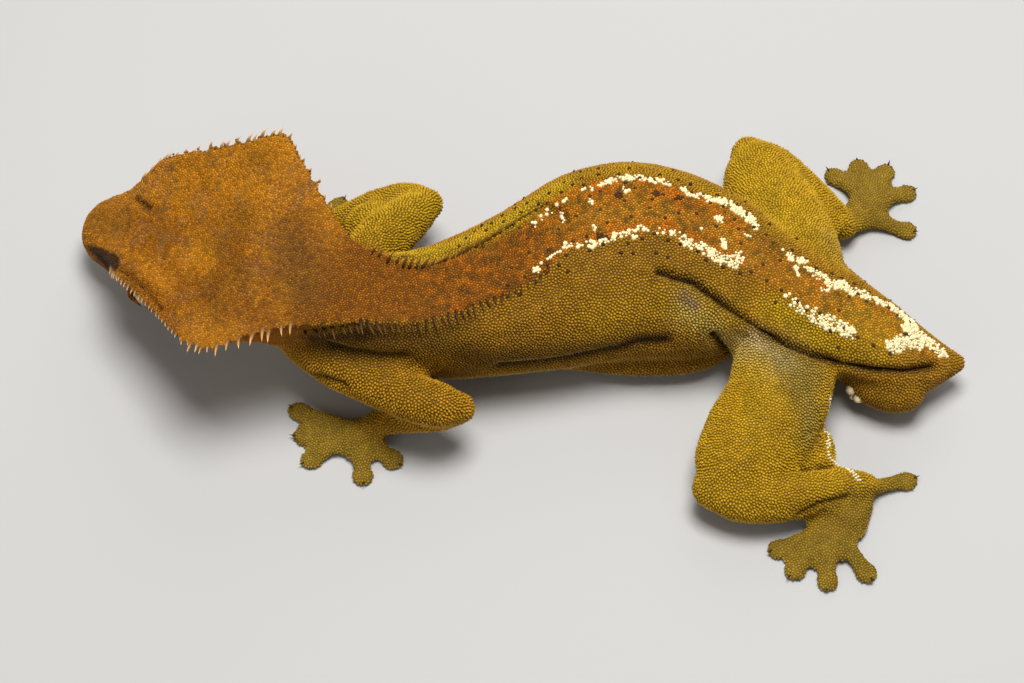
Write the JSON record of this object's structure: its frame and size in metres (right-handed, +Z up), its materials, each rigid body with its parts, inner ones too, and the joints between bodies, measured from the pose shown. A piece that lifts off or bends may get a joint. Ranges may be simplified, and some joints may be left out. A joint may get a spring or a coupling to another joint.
{
  "type": "crested gecko",
  "caption": "Life-size crested gecko lying flat with its head turned: broad spiny head crest, folded legs, toe pads and a short pointed tail stub.",
  "frame": {"origin": "middle of the box round the animal, at the floor it lies on", "axes": "+X towards the tail, -Y the animal's left side, +Z up"},
  "size_m": [0.1098, 0.0614, 0.0239],
  "materials": {
    "skin": "granular, satin",
    "eye": "wet gloss"
  },
  "bodies": {
    "root": {"head": "skin", "eye_left": "eye", "eye_right": "eye", "neck": "skin", "chest": "skin", "abdomen": "skin", "pelvis": "skin", "tail_stub": "skin", "upper_arm_left": "skin", "forearm_left": "skin", "hand_left": "skin", "upper_arm_right": "skin", "forearm_right": "skin", "hand_right": "skin", "thigh_left": "skin", "shank_left": "skin", "foot_left": "skin", "thigh_right": "skin", "shank_right": "skin", "foot_right": "skin"}
  },
  "joints": []
}
